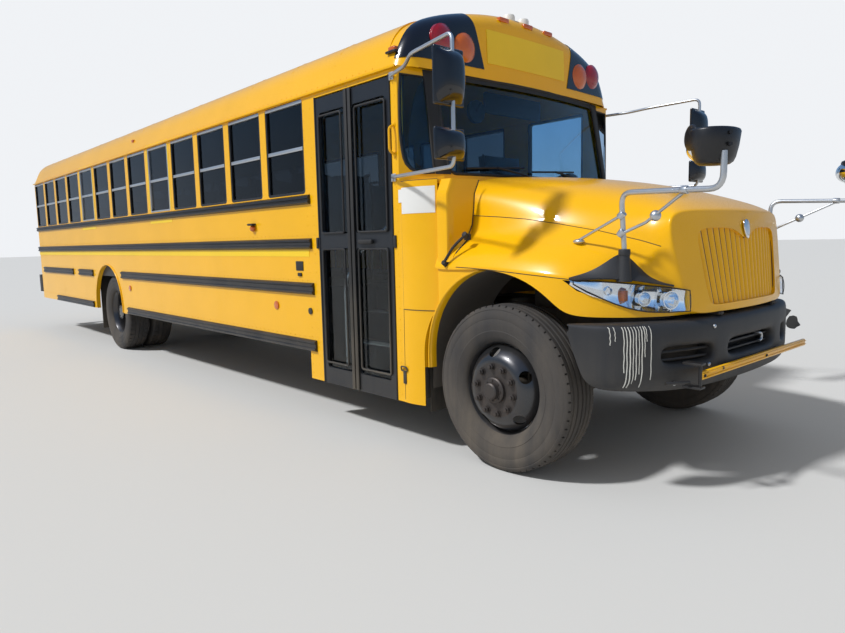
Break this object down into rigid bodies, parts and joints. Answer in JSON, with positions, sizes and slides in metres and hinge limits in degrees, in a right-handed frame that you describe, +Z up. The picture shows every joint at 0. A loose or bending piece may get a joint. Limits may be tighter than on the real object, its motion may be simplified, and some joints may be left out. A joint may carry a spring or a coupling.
{
  "type": "school bus",
  "caption": "Long conventional yellow school bus with tilting hood, steering front wheels, twin rear wheels, folding entrance door, rear door, roof hatches, stop arm and crossing arm.",
  "frame": {"origin": "on the ground below the middle of the vehicle's box", "axes": "+X forward, +Y to the driver's side (left), +Z up"},
  "size_m": [12.436, 3.17, 3.0943],
  "materials": {
    "yellow": "glossy school-bus yellow paint, dusty",
    "black_trim": "semi-gloss black paint",
    "door_black": "satin black paint",
    "bumper": "weathered black, scraped and stained",
    "tyre": "dusty worn rubber",
    "wheel_steel": "dark painted steel, rusty in the corners",
    "chassis": "black chassis paint with dirt",
    "engine": "cast iron",
    "exhaust": "heat-browned steel",
    "floor": "ribbed rubber flooring over steel",
    "tinted_glass": "dark tinted safety glass",
    "clear_glass": "clear safety glass",
    "sash": "anodised aluminium, black outside",
    "step": "ribbed treads with pale nosings",
    "seat": "dark vinyl upholstery",
    "dash": "moulded black plastic",
    "lamp_lens": "clear lens over a bright reflector",
    "lamp_colour": "amber and red lenses",
    "tube": "galvanised tube with black mirror heads",
    "red_sign": "red paint with a white border",
    "hatch": "white moulded lid",
    "rubber": "black rubber sheet"
  },
  "bodies": {
    "coach": {"front_axle": "chassis", "rear_axle": "chassis", "frame_rails": "chassis", "cross_members": "chassis", "leaf_springs": "chassis", "engine": "engine", "driveline": "chassis", "fuel_tank": "chassis", "exhaust": "exhaust", "floor": "floor", "wheel_housings": "floor", "left_side": "yellow", "right_side": "yellow", "roof": "yellow", "rear_wall": "yellow", "windshield_frame": "yellow", "front_cap": "yellow", "cowl": "yellow", "window_glass": "tinted_glass", "window_frames": "sash", "rub_rails": "black_trim", "entrance_steps": "step", "seats": "seat", "dashboard": "dash", "front_bumper": "bumper", "rear_bumper": "bumper", "side_mirrors": "tube", "lamps": "lamp_colour", "mud_flaps": "rubber"},
    "front_wheel_left": {"front_tyre_left": "tyre", "front_wheel_left": "wheel_steel"},
    "front_wheel_right": {"front_tyre_right": "tyre", "front_wheel_right": "wheel_steel"},
    "rear_wheels_left": {"rear_tyres_left": "tyre", "rear_wheels_left": "wheel_steel"},
    "rear_wheels_right": {"rear_tyres_right": "tyre", "rear_wheels_right": "wheel_steel"},
    "knuckle_left": {"knuckle_left": "chassis"},
    "knuckle_right": {"knuckle_right": "chassis"},
    "rear_door": {"rear_door": "yellow", "rear_door_glass": "tinted_glass"},
    "front_hatch": {"front_hatch": "hatch"},
    "rear_hatch": {"rear_hatch": "hatch"},
    "door_front_leaf": {"door_front_leaf": "door_black", "door_front_glass": "clear_glass"},
    "door_rear_leaf": {"door_rear_leaf": "door_black", "door_rear_glass": "clear_glass"},
    "steering_wheel": {"steering_wheel": "dash"},
    "hood": {"hood": "yellow", "grille": "yellow", "headlights": "lamp_lens", "crossview_mirrors": "tube"},
    "crossing_arm": {"crossing_arm": "yellow"},
    "stop_arm": {"stop_arm": "red_sign"}
  },
  "joints": [
    {"name": "steer_left", "type": "hinge", "parent": "coach", "child": "knuckle_left", "pos_m": [4.88, 0.85, 0.51], "axis": [0, 0, 1], "range_deg": [-35, 35]},
    {"name": "steer_right", "type": "hinge", "parent": "coach", "child": "knuckle_right", "pos_m": [4.88, -0.85, 0.51], "axis": [0, 0, 1], "range_deg": [-35, 35]},
    {"name": "steering_wheel_turn", "type": "hinge", "parent": "coach", "child": "steering_wheel", "pos_m": [3.975, 0.62, 1.76], "axis": [0.6247, 0, -0.7809], "range_deg": [-700, 700]},
    {"name": "front_wheel_left_roll", "type": "hinge", "parent": "knuckle_left", "child": "front_wheel_left", "pos_m": [4.88, 1.025, 0.51], "axis": [0, 1, 0], "continuous": true},
    {"name": "front_wheel_right_roll", "type": "hinge", "parent": "knuckle_right", "child": "front_wheel_right", "pos_m": [4.88, -1.025, 0.51], "axis": [0, 1, 0], "continuous": true},
    {"name": "rear_wheels_left_roll", "type": "hinge", "parent": "coach", "child": "rear_wheels_left", "pos_m": [-2.13, 0.866, 0.51], "axis": [0, 1, 0], "continuous": true},
    {"name": "rear_wheels_right_roll", "type": "hinge", "parent": "coach", "child": "rear_wheels_right", "pos_m": [-2.13, -0.866, 0.51], "axis": [0, 1, 0], "continuous": true},
    {"name": "entrance_door_front", "type": "hinge", "parent": "coach", "child": "door_front_leaf", "pos_m": [4.003, -1.22, 1.4], "axis": [0, 0, 1], "range_deg": [0, 86]},
    {"name": "entrance_door_rear", "type": "hinge", "parent": "coach", "child": "door_rear_leaf", "pos_m": [3.11, -1.22, 1.4], "axis": [0, 0, 1], "range_deg": [-86, 0]},
    {"name": "rear_door_swing", "type": "hinge", "parent": "coach", "child": "rear_door", "pos_m": [-6.004, -0.48, 1.7], "axis": [0, 0, 1], "range_deg": [0, 110]},
    {"name": "front_hatch_lift", "type": "hinge", "parent": "coach", "child": "front_hatch", "pos_m": [1.3, 0, 3.08], "axis": [0, 1, 0], "range_deg": [0, 60]},
    {"name": "rear_hatch_lift", "type": "hinge", "parent": "coach", "child": "rear_hatch", "pos_m": [-3.1, 0, 3.08], "axis": [0, 1, 0], "range_deg": [0, 60]},
    {"name": "hood_tilt", "type": "hinge", "parent": "coach", "child": "hood", "pos_m": [5.855, 0, 0.968], "axis": [0, 1, 0], "range_deg": [0, 70]},
    {"name": "crossing_arm_swing", "type": "hinge", "parent": "coach", "child": "crossing_arm", "pos_m": [5.92, -0.745, 0.672], "axis": [0, 0, -1], "range_deg": [0, 90]},
    {"name": "stop_arm_swing", "type": "hinge", "parent": "coach", "child": "stop_arm", "pos_m": [2.98, 1.273, 1.56], "axis": [0, 0, -1], "range_deg": [0, 90]}
  ],
  "couplings": [
    {"joint": "steer_right", "follows": "steer_left", "ratio": 1},
    {"joint": "steering_wheel_turn", "follows": "steer_left", "ratio": -20},
    {"joint": "entrance_door_rear", "follows": "entrance_door_front", "ratio": -1}
  ]
}
